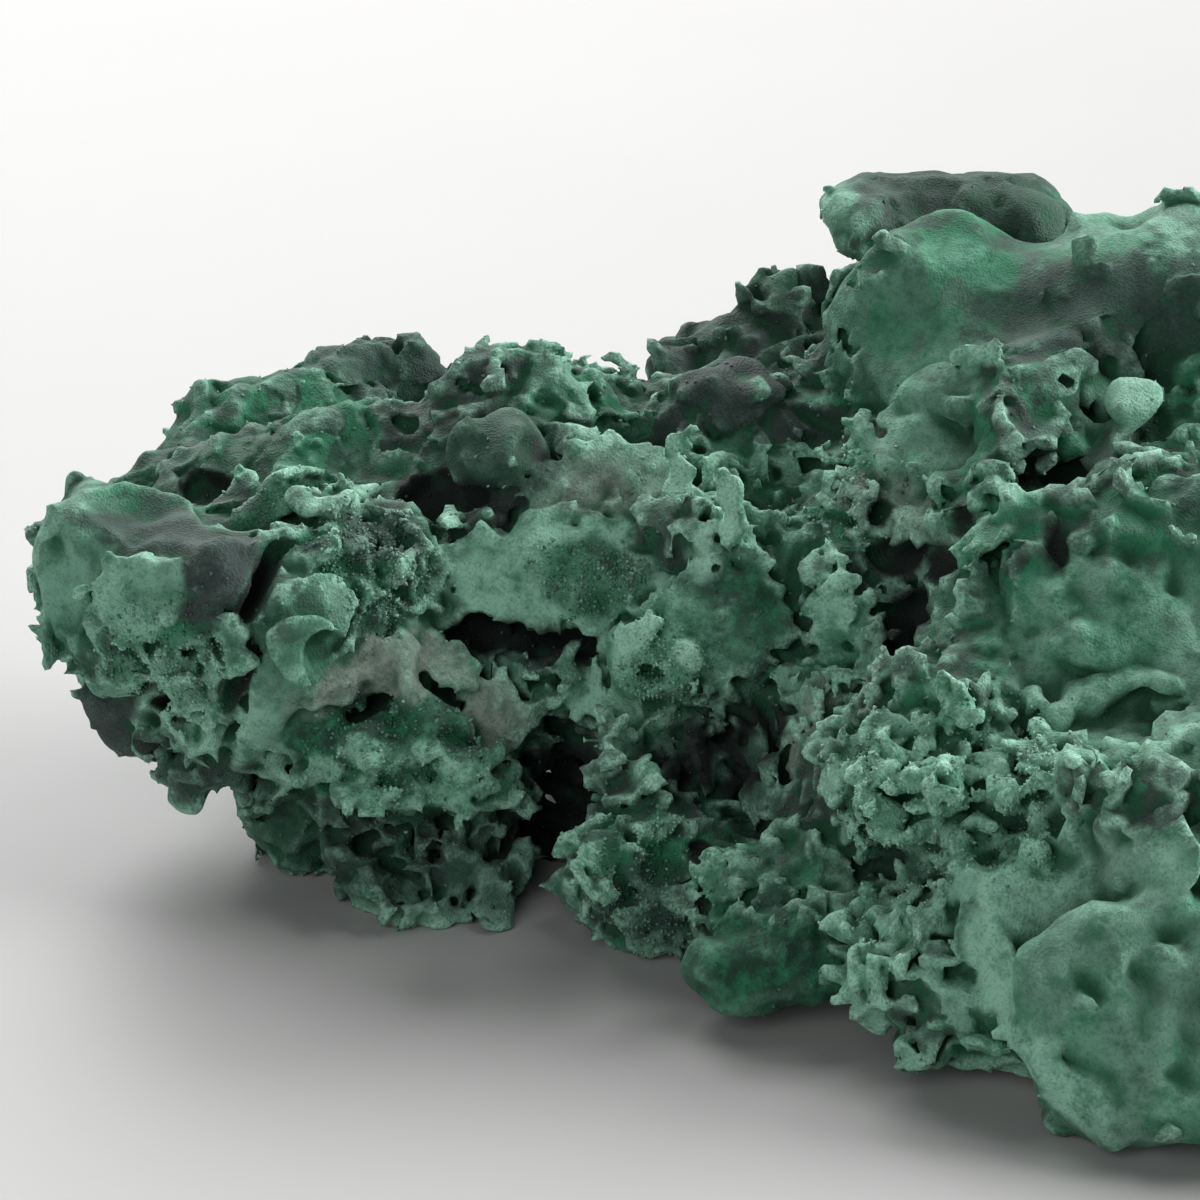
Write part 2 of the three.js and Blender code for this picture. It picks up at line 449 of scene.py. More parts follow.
def grow_ledge(stone):
    # Painted shade: dark green in the gap under the ledge.
    stone.pit((-28.6, -2.4, 14.2), (4.2, 1.4, 1.1), sink=0.1, rough=0.4, deep=1)
    arch = [(-34.4, -2.4, 14.6), (-32, -3, 16.6), (-28.5, -2.4, 17.2), (-25.2, -1.6, 16.2)]
    stone.strap(arch, [1.3, 1.6, 1.7, 1.4], thick=1.3, lift=0.5, rough=0.3, blend=0.4, olive=1)
    stone.plate((-22.6, -1.6, 12.8), (0.1, -0.95, 0.25), (2.1, 3.2), thick=1.0, lift=0.7, ragged=0.3,
                spin=12, curl=0.02, olive=1)
    stone.plate((-25, -1.6, 15.6), (0, -0.8, 0.6), (2.6, 1.8), thick=0.9, lift=0.6, ragged=0.3, spin=-35,
                olive=1)


def grow_mound(stone):
    stone.lump((-28.5, -2.4, 11.4), (4.8, 2.4, 2.6), sink=0.4, rough=0.5, deep=1)
    stone.plate((-25.2, -2.6, 9.2), (0.2, -0.9, 0.3), (2.6, 1.7), thick=0.7, lift=0.7, ragged=0.8,
                spin=20, mint=0.7)
    for x, y, z in [(-33.4, -3.2, 9.6), (-31.7, -3.6, 8.6), (-29.6, -3.8, 8.2), (-27.4, -3.4, 8),
                    (-31, -4, 11.4), (-29.2, -4.2, 11), (-27, -4, 11.2)]:
        stone.lump((x, y, z), (0.9, 0.7, 0.7), sink=0.1, rough=0.5, mint=0.8)


def grow_sponge(stone):
    stone.mark((-42, -1, 14), (6, 5, 5.5), mint=0.4)
    for at, radii in [((-47.5, 5, 10.7), (2.2, 2.2, 1.9)), ((-46, 6, 8.4), (2.2, 2.4, 1.7))]:
        stone.lump(at, radii, sink=0.5, rough=0.1, charcoal=1)
    # Painted shade: the pit in the sponge is darkened to near black.
    stone.pit((-43.3, 0, 13), (1.4, 1.6, 0.6), turn=(0, 15, 0), sink=0.5, hollow=1)


def grow_arm_back(stone):
    stone.swell((-43, 27, 25), (8, 9, 6), -1.6)
    for at, radii in [((-43.2, 20, 19.4), (4.6, 5.5, 3.4)), ((-40.4, 25, 21.4), (4, 4.5, 3.2))]:
        stone.lump(at, radii, rough=0.4, blend=2.5, free=True)
    stone.lump((-40.6, 4.5, 8.2), (3.6, 4, 2.3), rough=0.5, blend=2, charcoal=0.7, free=True)
    # Painted shade: the pit on the arm's back is darkened to near black.
    stone.pit((-41.6, 13.5, 22.6), (1.8, 1.8, 1.4), sink=0.2, hollow=1)
    stone.mark((-30, 30, 25), (5.5, 5, 4), charcoal=0.8)
    stone.mark((-38, 16, 23), (9, 5, 3), charcoal=0.6, top=True)


# ---- the middle

def grow_mint_plate(stone):
    # Painted shade: the gap under the plate is darkened to near black.
    stone.pit((-20.5, 2, 16.8), (6, 3, 1.9), sink=1.0, rough=0.4, hollow=1)
    stone.plate((-19.0, 3.2, 20.6), (-0.05, -0.85, 0.5), (7.3, 3.6), thick=0.9, lift=1.2, curl=0.014,
                ragged=0.4, rough=0.3, spin=4, blend=0.15, mint=0.95)
    stone.plate((-18.6, 1.4, 17.9), (-0.1, -0.9, 0.3), (1.5, 1.7), thick=0.7, lift=1.6, ragged=0.3,
                spin=40, mint=0.85)
    stone.mark((-17.0, 1.8, 21.2), (3.8, 3, 2.6), emerald=0.8)


def grow_upper_plates(stone):
    stone.plate((-15.8, 6.6, 25), (0.1, -0.75, 0.66), (5.6, 3), thick=0.8, curl=0.02, ragged=0.35,
                rough=0.3, olive=0.6)
    stone.plate((-22.4, 6.2, 24), (-0.6, -0.5, 0.6), (2.2, 0.9), lift=0.8, spin=50, mint=0.9)
    for x, y, z, a, b in [(-10.4, 5.2, 25, 1.0, 2.6), (-9.6, 1.4, 23.2, 1.2, 2.8),
                          (-7.8, 2.2, 24.6, 0.9, 2.0)]:
        stone.plate((x, y, z), (-0.6, -0.75, 0.2), (a, b), lift=1.1, ragged=0.3, blend=0.12, pale=1)


def grow_dark_lumps(stone):
    stone.lump((-22.6, 10.4, 26), (3.3, 2.6, 2.4), rough=0.4, blend=0.3, charcoal=1)
    # Darker round the charcoal lump; the two pits beside it get near black as painted shade.
    stone.mark((-22.6, 10.4, 26), (5, 4.5, 4), hollow=0.4)
    stone.pit((-24.6, 8.8, 23.6), (1.6, 2.2, 1.8), sink=0.5, rough=0.3, hollow=1)
    stone.pit((-26.3, 9.4, 23.4), (2.4, 2.6, 1.9), sink=0.6, hollow=1)
    stone.lump((-23.7, 7, 22.4), (1.5, 1.1, 0.8), turn=(0, -25, 0), rough=0.05, charcoal=1)
    stone.lump((-7.5, 16, 28), (3.2, 2.6, 1.9), sink=0.3, rough=0.5, charcoal=1)


def grow_nugget(stone):
    stone.plate((-8.0, 0, 19.0), (0.1, -0.9, 0.4), (4.4, 3.6), thick=0.9, lift=0.8, ragged=0.4,
                curl=0.015, blend=0.15, deep=0.9)
    stone.lump((-12.4, -0.8, 16.0), (3.5, 2.6, 2.9), sink=-1.0, rough=0.35, blend=0.15, mint=0.45)
    stone.plate((-13.8, -1, 17.6), (-0.5, -0.8, 0.3), (1.2, 2.2), thick=0.5, spin=-30, pale=0.9)
    stone.plate((-10.6, -1, 16.8), (0.3, -0.9, 0.3), (0.9, 2.0), thick=0.5, spin=25, pale=0.9)
    stone.plate((-15.5, -0.6, 13.2), (-0.2, -0.9, 0.3), (3.4, 1.7), thick=0.7, lift=1.0, blend=0.15,
                mint=0.75)
    # Painted shade: dark green in the small pit.
    stone.pit((-13, -1.5, 15.4), (0.9, 1, 0.6), sink=0.2, deep=1)


def grow_hood(stone):
    stone.lump((5.2, 8.4, 30.4), (2.9, 2.4, 2.3), sink=0.6, rough=0.1, mint=0.3)
    stone.plate((6.2, 3.2, 28.6), (0, -0.5, 0.85), (6.2, 4.2), thick=1.0, lift=0.4, curl=0.01,
                ragged=0.6, rough=0.4, mint=0.5)
    stone.plate((2.6, 0.6, 25.8), (-0.2, -0.6, 0.75), (5.2, 2.4), thick=0.8, lift=0.3, curl=0.02,
                ragged=0.6, rough=0.4, spin=-30, olive=0.6)
    # Painted shade: the pits under the hood are darkened to near black.
    for at, radii in [((6.1, -2.4, 26.2), (1.3, 1.3, 0.9)), ((2.6, -0.2, 23), (1.8, 1.8, 1.2)),
                      ((1.5, 1.5, 25.2), (0.9, 1.1, 0.8)), ((4.6, -3.6, 24.2), (1.6, 1.8, 1.0))]:
        stone.pit(at, radii, hollow=1)


def grow_jagged_crust(stone):
    # Painted shade: the pit behind the jagged crust is darkened to near black.
    stone.pit((2.8, -2.6, 19.4), (1.8, 2.8, 2.4), turn=(0, 25, 0), sink=0.8, rough=0.6, hollow=1)
    stone.plate((-0.8, -2.2, 19.6), (-0.45, -0.85, 0.25), (2.0, 3.6), thick=0.7, lift=0.8, ragged=0.7,
                curl=0.05, mint=1)
    stone.plate((0.8, -3.2, 16.2), (-0.2, -0.95, 0.1), (1.2, 2.0), lift=0.8, ragged=0.6, spin=-25,
                mint=0.9)


def grow_recess(stone):
    # Painted shade: the recess is darkened to near black.
    stone.pit((-7.5, -4, 11.6), (5, 3, 3.2), sink=-0.5, rough=0.6, hollow=1)
    for x, y, z, lean, spin in [(-11, -3, 12, -0.5, 10), (-8.4, -3, 13, 0.3, 60),
                                (-6, -4, 11, -0.4, -30), (-9, -4, 9.6, 0.5, 30),
                                (-5, -4, 13.4, 0.1, 80)]:
        stone.plate((x, y, z), (lean, -0.8, 0.4), (1.6, 1.0), thick=0.45, lift=0.6, spin=spin, mint=0.35)
    stone.strap([(-1.6, -4.8, 15.6), (-2.8, -6.8, 12.4), (-4.4, -9.2, 9.8)], [0.9, 1.1, 0.9], thick=1.1,
                lift=0.8, rough=0.15, olive=1)


def grow_cave(stone):
    # Painted shade: the cave is darkened to near black.
    stone.pit((-18.9, 0, 6), (3.6, 4.6, 3.8), sink=0.5, rough=0.5, hollow=1)
    stone.plate((-15.3, -4.4, 10), (0.9, -0.4, 0), (1.6, 2.4), thick=0.5, lift=0.7, mint=0.5)


# ---- the feet

def grow_knee(stone):
    # Painted shade in the two pits of the knee, dark green and near black.
    stone.pit((-12.3, -12.6, 7), (1.6, 1.6, 1.2), sink=0.2, deep=1)
    stone.pit((-9.8, -11, 7.8), (0.8, 1.2, 0.7), hollow=1)
    stone.mark((-17.2, -9.5, 4), (2.2, 3, 2), mint=0.8)
    stone.mark((-13, -12, 4), (4, 3, 3), charcoal=0.55)
    stone.lump((-5.9, -20, 4.6), (5.2, 2.8, 2.4), sink=1.5, rough=0.3, blend=1.5, deep=0.95)
    stone.dish((-6.5, -21.6, 5.4), (-0.1, -0.9, 0.4), 3, 0.5)


def grow_foot(stone):
    stone.lump((-35, 6, 4), (4.4, 5, 3.8), rough=0.5, blend=1.5, free=True)
    # Painted shade on the foot, which lies back under the arm: dark green and near black.
    stone.mark((-30, -1, 4), (11, 6, 4.5), deep=0.6, hollow=0.5)
    stone.lump((-23.3, -3.4, 1.6), (1.9, 1.9, 2.0), sink=0.6, rough=0.3, charcoal=0.6)


# ---- the slope

def grow_cauliflower(stone):
    stone.mark((6, -19.5, 14.6), (9, 8, 6.6), mint=0.6)
    stone.mark((1.5, -24, 8), (6, 6, 4), mint=0.4)
    ring = [(13.2 + 1.3 * math.cos(a), -25.6 + 0.6 * math.sin(a), 17.6 + 1.3 * math.sin(a))
            for a in np.linspace(-0.4, math.pi + 0.4, 8)]
    stone.strap(ring, [0.5] * 8, thick=0.9, lift=0.5, blend=0.2, pale=0.8)


def grow_folded_sheet(stone):
    stone.lump((14.5, -31.5, 10.5), (7, 3.4, 5), sink=1.6, rough=0.2, blend=2.0)
    fold = [(5.8, -24.8, 12.6), (7.6, -26.6, 11.6), (9.5, -27.6, 11.2), (12.7, -29, 13.6),
            (16.6, -30, 16.0)]
    stone.strap(fold, [1.0, 1.7, 1.9, 2.2, 2.2], thick=1.5, blend=1.2, mint=0.95)
    edge = [(6.4, -27, 9.8), (7.6, -29, 7.2), (9.6, -32, 4.6), (13, -36, 2.2)]
    stone.strap(edge, [1.2, 1.5, 1.6, 1.4], thick=1.2, lift=0.2, rough=0.3, blend=0.8, mint=0.9)
    stone.dish((14.5, -34.5, 8.5), (0.05, -0.85, 0.5), 5.5, 0.9, rough=0.4)
    stone.mark((15, -34, 8), (9, 7, 8), mint=0.4)
    stone.mark((13.5, -30.5, 15.2), (5, 4, 2.4), pale=0.45)


def grow_waves(stone):
    stone.mark((16, -13, 21), (9, 12, 6), mint=0.45)
    stone.strap([(9.6, -8, 24.8), (13, -11.5, 23.6), (18, -14, 22.8)], [1.6, 2.2, 1.8], thick=1.4,
                blend=1.5, rough=0.4)
    stone.strap([(10.4, -3, 25.6), (15, -6.5, 25.2), (20, -8, 25.2)], [1.3, 1.9, 1.6], thick=1.3,
                blend=1.5, rough=0.4)
    # Painted shade in two pits on the slope, near black and dark green.
    stone.pit((12.4, -21.2, 18.6), (1.2, 1.4, 1.0), sink=0.4, hollow=1)
    stone.pit((17.4, -18.6, 20), (3.0, 1.3, 0.8), sink=0.2, deep=1)
    stone.strap([(11.6, -17.6, 19.2), (13.2, -15.8, 20), (15.4, -15.6, 20.6), (18.5, -16.6, 21)],
                [0.7, 0.8, 0.7, 0.6], thick=1.0, lift=0.6, mint=0.8)


def grow_groove(stone):
    stone.pit((13.6, 4, 27), (2.2, 2.0, 1.3), sink=0.1, charcoal=1)
    # Painted shade: the pit at the end of the groove is darkened to near black.
    stone.pit((11.6, -4.6, 26), (0.8, 1.3, 1.6), sink=0.4, hollow=1)
    stone.strap([(18.8, 6.8, 31), (15.8, 1.5, 28.8), (13.2, -5.5, 26.2)], [0.8, 1.1, 1.0], thick=1.3,
                lift=0.6, charcoal=0.6)
    stone.lump((17.5, 6, 30.4), (2.1, 1.6, 1.5), sink=-0.6, blend=0.2, pale=0.7)
    stone.lump((16.6, 4.6, 29.2), (0.9, 0.8, 0.9), sink=-0.3, rough=0.2, blend=0.2, pale=1)


# ---- the ridge and the back

def grow_block(stone):
    stone.lump((7.6, 33, 35.6), (8.4, 4.4, 3.0), sink=0.8, rough=0.15, blend=1.2)
    stone.pit((0.8, 31.5, 30.8), (3.2, 5, 1.7), sink=0, rough=0.3)
    for at, radii in [((1.9, 32.4, 34.7), (2.8, 4, 2.5)), ((13, 33, 34.2), (2.8, 4, 2.6))]:
        stone.lump(at, radii, rough=0.15, blend=1.0, free=True)
    stone.dish((0.2, 31, 35.4), (-0.75, -0.65, 0.05), 2.4, 0.25)
    stone.dish((6.5, 29.4, 34.2), (0.1, -0.95, -0.2), 4.2, 0.7)
    stone.dish((6.5, 33.5, 38.4), (-0.05, -0.1, 1), 4.8, 0.5)


def grow_shoulder(stone):
    for at, radii in [((-2.5, 30, 28), (4.6, 4, 3.4)), ((-8.8, 28, 25.4), (3.6, 4, 3.0))]:
        stone.lump(at, radii, rough=0.5, blend=1.2, free=True)


def grow_hills(stone):
    stone.lump((17.6, 20, 35.6), (3.8, 4.5, 3.8), rough=0.3, blend=2.0, free=True)
    stone.swell((5.6, 17, 40), (4, 4, 4), -2.2)
    stone.swell((17.8, 20, 39.8), (3.4, 4, 3.4), -1.2)
    stone.mark((5, 14, 33), (7, 7, 6), mint=0.25)
    stone.mark((21, 20, 38), (8, 7, 5), mint=0.5)
    stone.mark((16, 11, 35), (8, 5, 4), charcoal=0.75)


def colour_block_and_back(stone):
    stone.mark((7.5, 33, 34), (9.5, 7, 6), charcoal=1)
    # Near black over the block and the shoulder as well as charcoal, and dark green low along the back.
    stone.mark((9.5, 33, 34), (8, 7, 6), hollow=0.45)
    stone.mark((0, 36, 12), (60, 8, 9), deep=0.4)
    stone.mark((-20, 36, 20), (16, 9, 10), charcoal=0.5)
    stone.mark((30, 34, 26), (13, 9, 9), charcoal=0.55)
    stone.mark((-1, 31.5, 35.5), (2.8, 4, 3.5), mint=0.75)
    stone.mark((-5, 29, 26), (9, 8, 6), charcoal=0.95, hollow=0.45)


# ---- crust

# Ellipsoids where the stone has each habit, with their radii and a share where it isn't whole.
HABITS = {
    "holes": [  # full of holes
        ((-42.5, -1, 14), (5.5, 5, 5.5)),
        ((-12.2, -1.5, 16.2), (3, 3, 2.4), 0.8),
        ((1, -1, 23), (6, 4, 4), 0.4),
        ((-26, -1.5, 4.5), (7, 4, 3.5), 0.5),
    ],
    "calm": [  # smooth
        ((-36, 22, 23), (17, 13, 7), 0.6),
        ((16, -34, 8), (10, 8, 9)),
        ((9, -28, 11), (6, 4, 3)),
        ((17, -11, 23), (11, 11, 7), 0.97),
        ((8, 20, 33), (11, 11, 9), 0.95),
        ((8, 33, 35), (12, 8, 7), 0.8),
        ((21, 19, 37), (13, 10, 8), 0.9),
        ((0, 38, 14), (60, 14, 26), 0.5),
        ((-46, 19, 20), (7, 9, 6), 0.6),
        ((-19.0, 3.2, 20.6), (7.8, 3, 4), 0.9),
        ((-35.4, -2.6, 15.6), (3, 3, 5.5), 0.9),
        ((-28, -2.4, 15.6), (6.5, 3, 3), 0.8),
        ((-44.2, -1.5, 21), (4.5, 3, 3.4), 0.7),
        ((-45, 4.5, 25), (7.5, 7.5, 4), 0.92),
        ((-49, 4, 20), (5, 5, 5.5), 0.9),
        ((5, 5.5, 29), (6, 5, 4), 0.7),
        ((-5.9, -20, 4.6), (5.5, 4, 3), 0.5),
    ],
    "worms": [  # knotted like a cauliflower
        ((6, -19.5, 14.6), (8.6, 8, 6.4)),
        ((11.2, -23.5, 18), (4.4, 3.4, 3.2)),
        ((1, -23, 8), (6, 6, 5), 0.7),
    ],
    "druse": [  # set with small crystals
        ((-17.6, 1.8, 21.4), (4.2, 3, 2.8)),
        ((-12.2, -1.5, 16.2), (3.4, 3, 3), 0.8),
        ((-43.5, -1.5, 17), (5.5, 5, 4), 0.6),
        ((-29.8, 1.4, 22), (5, 4, 4), 0.7),
        ((0, 4, 26), (6, 5, 4), 0.25),
        ((6, -19.5, 14.6), (9, 8, 7), 0.4),
        ((-13, -12, 5), (5, 5, 5), 0.5),
        ((-28.5, -3, 11), (5.5, 3, 4), 0.5),
    ],
}


def lay_habits(stone):
    for habit, places in HABITS.items():
        for place in places:
            stone.zone(getattr(stone, habit), *place)


def shape_noise(stone):
    """Soft lumps, and the noises that the stamps use."""
    stone.value += SWELLING * stone.cloud(SWELLING_WAVE)
    stone.warp = [stone.cloud(WARP_WAVE) for _ in range(3)]
    stone.grit = stone.cloud(GRIT_WAVE)


def facets(stone, size, height, tilt):
    """Broken flat chips with steps between them, and a random tone for each chip."""
    near = np.flatnonzero(np.abs(stone.value) < BAND)
    places = np.stack(np.unravel_index(near, stone.shape), axis=1)
    warp = np.stack([w.ravel()[near] for w in stone.warp], axis=1)
    at = ((places * VOXEL + 0.12 * size * warp) / size).astype(np.float32)
    grid = tuple(int(n) for n in np.ceil(stone.span / size) + 4)
    seeds = random.random((*grid, 3)).astype(np.float32)
    chips = random.standard_normal((*grid, 4)).astype(np.float32)
    tones = random.random(grid).astype(np.float32)
    best = np.full(len(near), 1e9, np.float32)
    offset = np.zeros(len(near), np.float32)
    tone = np.zeros(len(near), np.float32)
    first = np.floor(at - 0.5).astype(np.int32)
    for corner in range(8):
        cell = first + np.array([corner & 1, corner >> 1 & 1, corner >> 2 & 1])
        index = tuple((cell + 1).T)
        rest = at - cell - seeds[index]
        distance = (rest**2).sum(axis=1)
        closer = distance < best
        chip = chips[index][closer]
        best[closer] = distance[closer]
        lean = (chip[:, :3] * rest[closer]).sum(axis=1)
        offset[closer] = height * chip[:, 3] + tilt * size * lean
        tone[closer] = tones[index][closer]
    rough = 1 - 0.93 * stone.calm.ravel()[near]
    stone.value.ravel()[near] += rough * np.clip(offset, -DEEPEST_CHIP, DEEPEST_CHIP)
    volume = np.full(stone.shape, 0.5, np.float32)
    volume.ravel()[near] = tone
    return volume


def weather(stone):
    """Chips of two sizes, sharp small crests, pores, and knots where the stone has worms."""
    stone.tone = facets(stone, *BIG_CHIPS)
    facets(stone, *SMALL_CHIPS)
    rough = 1 - 0.92 * stone.calm
    crests = 0.28 * np.abs(stone.cloud(2.6)) - 0.2 + 0.1 * stone.grit
    stone.value += rough * crests
    knots = np.abs(stone.cloud(2.3)) + 0.4 * np.abs(stone.cloud(1.1)) - 1.0
    stone.value -= KNOT_HEIGHT * stone.worms * knots
    open_places = 1.25 * stone.holes * (1 - stone.calm)
    pores = 0.4 * (stone.cloud(1.7) - 2.1 + open_places - 1.2 * stone.calm)
    stone.value = np.maximum(stone.value, np.minimum(pores, stone.value + PORE_DEPTH))


def scatter_holes(stone):
    rough = 0.04 * (1 - stone.calm) + 0.9 * stone.holes
    places, _ = stone.scatter(HOLES, rough)
    for place in places:
        size = 0.3 + 0.55 * random.random() ** 2
        stone.pit(place, (size, size * random.uniform(0.6, 1.4), size * random.uniform(0.6, 1.4)),
                  sink=0.4 * size, blend=0.12, rough=0.3)


def scatter_flakes(stone):
    rough = (1 - stone.calm) * (1 - 0.8 * stone.worms)
    places, outward = stone.scatter(FLAKES, rough)
    for place, out in zip(places, outward):
        normal = out + 0.4 * random.standard_normal(3)
        size = random.uniform(0.9, 2.6)
        stone.plate(place, normal, (size, size * random.uniform(0.5, 0.9)), thick=0.6,
                    lift=random.uniform(0.05, 0.45), ragged=0.22, curl=random.uniform(-0.02, 0.1))


def scatter_worms(stone):
    """Short knotted worms, crowded where the stone is like a cauliflower."""
    places, _ = stone.scatter(WORMS, stone.worms)
    for place in places:
        size = random.uniform(0.4, 0.62)
        turn = random.uniform(0, 180, 3)
        radii = (size, size, size * random.uniform(1.2, 2.4))
        stone.lump(place, radii, turn=turn, sink=random.uniform(-0.4, 0.1), blend=0.12)


def scatter_grains(stone):
    places, _ = stone.scatter(GRAINS, 0.2 * (1 - stone.calm) + stone.worms)
    for place in places:
        size = 0.25 + 0.3 * random.random() ** 2
        stone.lump(place, (size, size * 0.8, size), sink=-0.1, blend=0.15, rough=0.2)


def trim(stone):
    """Level under the feet, and closed at the edge of the grid."""
    stone.value = np.maximum(stone.value, FOOT_TRIM - stone.axes()[2])
    for axis in range(3):
        faces = np.moveaxis(stone.value, axis, 0)
        faces[0] = FAR
        faces[-1] = FAR


# ---- meshes

PLAIN_TONE = 0.62  # calm places are near this tone
# The last two shares also carry painted shade: dark green and near black in pits, caves and under
# overhangs.
COLOURS = ["mint", "pale", "emerald", "charcoal", "olive", "deep", "hollow"]


def slab(stone, low, high):
    """The surface of a slab of the field between two places along X, closed where it is cut.

    It runs a little into its neighbours, and dips under their surface there.
    """
    over = len(DIPS)
    first = max(0, round((low - stone.low[0]) / VOXEL) - over)
    last = min(stone.shape[0], round((high - stone.low[0]) / VOXEL) + 1 + over)
    value = stone.value[first:last].copy()
    for k, dip in enumerate(DIPS):
        value[over - 1 - k] += dip
        value[k - over] += dip
    grid = openvdb.FloatGrid(FAR)
    grid.copyFromArray(value, ijk=(first, 0, 0))
    points, triangles, quads = grid.convertToPolygons(0.0, 0.0)
    corners = np.concatenate([quads[:, [0, 1, 2]], quads[:, [0, 2, 3]], triangles.reshape(-1, 3)])
    return points * VOXEL + stone.low, corners


def drop_scraps(points, corners):
    """Leaves out the scraps that aren't joined to the rest, and the bubbles inside it."""
    label = np.arange(len(points))
    edges = np.concatenate([corners[:, :2], corners[:, 1:]])
    while True:
        a = label[edges[:, 0]]
        b = label[edges[:, 1]]
        apart = a != b
        if not apart.any():
            break
        np.minimum.at(label, np.maximum(a, b)[apart], np.minimum(a, b)[apart])
        while (label != label[label]).any():
            label = label[label]
    count = np.bincount(label, minlength=len(points))
    keep = (count >= STRAY)[label]
    new = np.cumsum(keep) - 1
    return points[keep], new[corners[keep[corners[:, 0]]]]


def to_mesh(name, points, corners):
    """A Blender mesh in metres from points in millimetres."""
    mesh = bpy.data.meshes.new(name)
    mesh.vertices.add(len(points))
    mesh.vertices.foreach_set("co", (points * MM).astype(np.float32).ravel())
    mesh.loops.add(3 * len(corners))
    mesh.loops.foreach_set("vertex_index", corners.astype(np.int32).ravel())
    mesh.polygons.add(len(corners))
    mesh.polygons.foreach_set("loop_start", np.arange(0, 3 * len(corners), 3, dtype=np.int32))
    mesh.update(calc_edges=True)
    return mesh


def read_points(mesh, what):
    """The places or the normals of a mesh's points, one row for each."""
    rows = np.empty(3 * len(mesh.vertices), np.float32)
    mesh.vertices.foreach_get(what, rows)
    return rows.reshape(-1, 3)


def write_values(mesh, name, values):
    """An attribute of the mesh's points."""
    data = mesh.attributes.new(name, "FLOAT", "POINT").data
    data.foreach_set("value", values.astype(np.float32))


def thin_out(piece, target, low, high):
    """Fewer triangles, most of them left where the camera sees the stone, and all along the cuts."""
    mesh = piece.data
    facing = read_points(mesh, "normal") @ VIEW
    along = read_points(mesh, "co")[:, 0] / MM
    levels = np.clip(1 + ((0.25 - facing) * 4).round(), 1, 4).astype(int)
    levels[np.minimum(np.abs(along - low), np.abs(along - high)) < SEAM] = 0
    group = piece.vertex_groups.new(name="thinned")
    for level in range(1, 5):
        group.add(np.flatnonzero(levels == level).tolist(), 0.25 * level, "REPLACE")
    modifier = piece.modifiers.new("thin_out", "DECIMATE")
    modifier.ratio = min(1, target / len(mesh.polygons))
    modifier.vertex_group = group.name
    modifier.vertex_group_factor = 4
    apply_modifiers(piece)
    piece.vertex_groups.clear()


def apply_modifiers(piece):
    """The piece's mesh with its modifiers in it."""
    graph = bpy.context.evaluated_depsgraph_get()
    mesh = bpy.data.meshes.new_from_object(piece.evaluated_get(graph))
    piece.modifiers.clear()
    piece.data = mesh


def marked_shares(stone, points, upward):
    """Each colour's share at some points, the later marks laid over the earlier ones."""
    ragged = stone.sample(stone.warp[0], points) * 0.09 + stone.sample(stone.grit, points) * 0.05
    share = {name: np.zeros(len(points), np.float32) for name in COLOURS}
    for at, radii, axes, colour, strength, top in stone.marks:
        near = np.flatnonzero((np.abs(points - at) < 1.5 * max(radii)).all(axis=1))
        if not len(near):
            continue
        inside = outwards(*axes(*(points[near] - at).T), radii) + ragged[near]
        weight = strength * (1 - fade(inside, 0.8, 1.15))
        if top:
            weight *= fade(upward[near], 0.35, 0.7)
        for name in COLOURS:
            share[name][near] *= 1 - weight
        share[colour][near] += weight
    return share


def paint(stone, piece):
    """Writes each colour's share into the mesh's points, with the pale edges, partly painted highlight,
    and the painted light and shade of narrow folds, raised and low places, and wide dips.
    """
    mesh = piece.data
    points = read_points(mesh, "co") / MM
    upward = read_points(mesh, "normal")[:, 2]
    share = marked_shares(stone, points, upward)
    calm = stone.sample(stone.calm, points)
    fine_fill = stone.sample(stone.fine_fill, points)
    # Pale on thin edges and rims: partly the stone's own paler colour, partly painted highlight.
    share["edge"] = (1 - 0.6 * calm) * fade(0.5 - fine_fill, 0.02, 0.22)
    # Painted shade: how far a place lies in a narrow crease.
    share["crease_shade"] = fade(fine_fill - 0.5, 0.02, 0.14)
    # Painted light and shade: above 0.5 a place lies back, below it stands out.
    share["relief"] = 0.5 + (1 - 0.5 * calm) * (stone.sample(stone.near_fill, points) - 0.5)
    # Painted shade: how deep a place lies in the stone's wide dips.
    share["cavity_shade"] = fade(stone.sample(stone.wide_fill, points), 0.5, 0.85)
    share["upward"] = upward
    share["tone"] = PLAIN_TONE + (1 - 0.75 * calm) * (stone.sample(stone.tone, points) - PLAIN_TONE)
    for name, values in share.items():
        write_values(mesh, name, values)


def fill_volumes(stone):
    """How much stone there is within three reaches of each voxel."""
    solid = np.clip(0.5 - stone.value / VOXEL, 0, 1)
    stone.fine_fill, stone.near_fill, stone.wide_fill = [
        blur(solid, 2, round(reach / VOXEL)) for reach in FILL_REACHES
    ]


def stone_meshes(stone, material):
    fill_volumes(stone)
    pieces = []
    for number, (low, high, target) in enumerate(zip(CUTS, CUTS[1:], TILE_TRIANGLES), 1):
        points, corners = drop_scraps(*slab(stone, low, high))
        name = f"malachite_crust_{number}"
        piece = bpy.data.objects.new(name, to_mesh(name, points, corners))
        bpy.context.scene.collection.objects.link(piece)
        thin_out(piece, target, low, high)
        piece.data.shade_smooth()
        paint(stone, piece)
        piece.data.materials.append(material)
        pieces.append(piece)
    return pieces


# ---- druse

# The corners and faces of a crystal, an octahedron.
TIPS = np.array([(1, 0, 0), (0, 1, 0), (-1, 0, 0), (0, -1, 0), (0, 0, 1), (0, 0, -1)], float)
SIDES = np.array([
    (0, 1, 4), (1, 2, 4), (2, 3, 4), (3, 0, 4),
    (1, 0, 5), (2, 1, 5), (3, 2, 5), (0, 3, 5),
])


